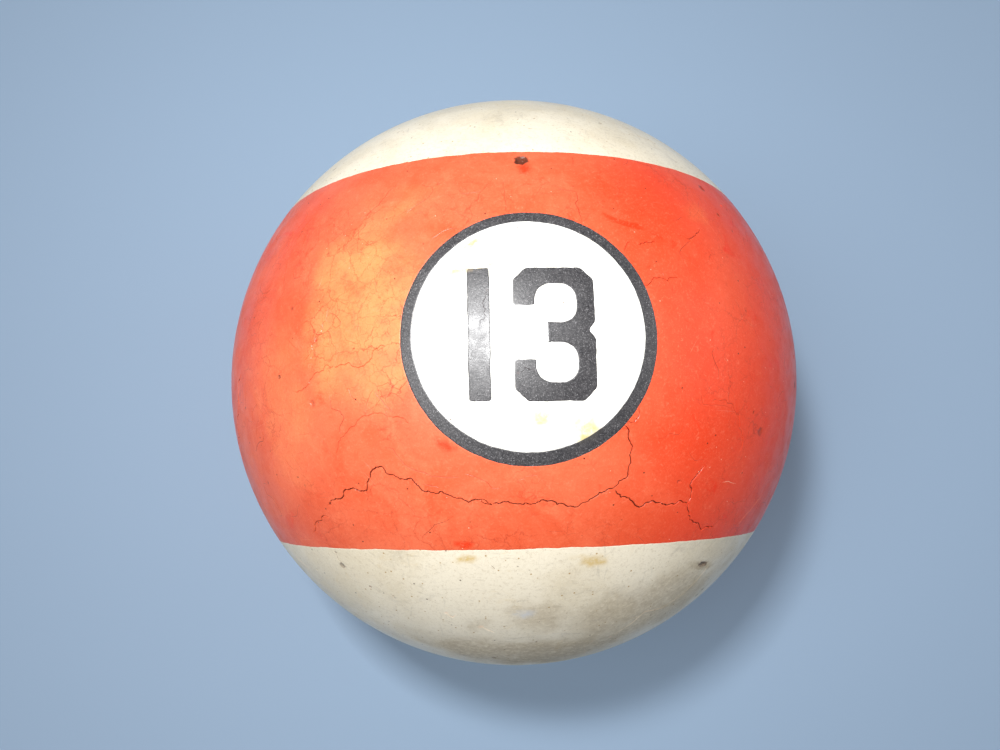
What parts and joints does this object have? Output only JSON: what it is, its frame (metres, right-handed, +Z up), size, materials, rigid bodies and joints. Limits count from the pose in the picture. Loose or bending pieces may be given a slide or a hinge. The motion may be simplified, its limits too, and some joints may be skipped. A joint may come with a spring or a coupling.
{
  "type": "numbered pool ball",
  "caption": "Solid striped pool ball: an ivory ball with an inlaid orange band and a ringed white number disc on each side.",
  "frame": {"origin": "centre of the ball", "axes": "+Z up through the middle of the front number, -Z to the point the ball rests on, Y along the axis of the stripe with +Y at the top of both numbers, +X to the right of the front number"},
  "size_m": [0.0572, 0.0572, 0.0572],
  "materials": {
    "ivory": "aged cream cast resin, polished, with fine scratches",
    "orange": "mottled orange cast resin, polished, crazed with fine cracks",
    "white": "white cast resin, polished, slightly stained",
    "black": "black cast resin, polished, faintly speckled"
  },
  "bodies": {
    "root": {"ball_body": "ivory", "stripe_band": "orange", "front_number_ring": "black", "front_number_disc": "white", "front_digit_1": "black", "front_digit_3": "black", "back_number_ring": "black", "back_number_disc": "white", "back_digit_1": "black", "back_digit_3": "black"}
  },
  "joints": []
}
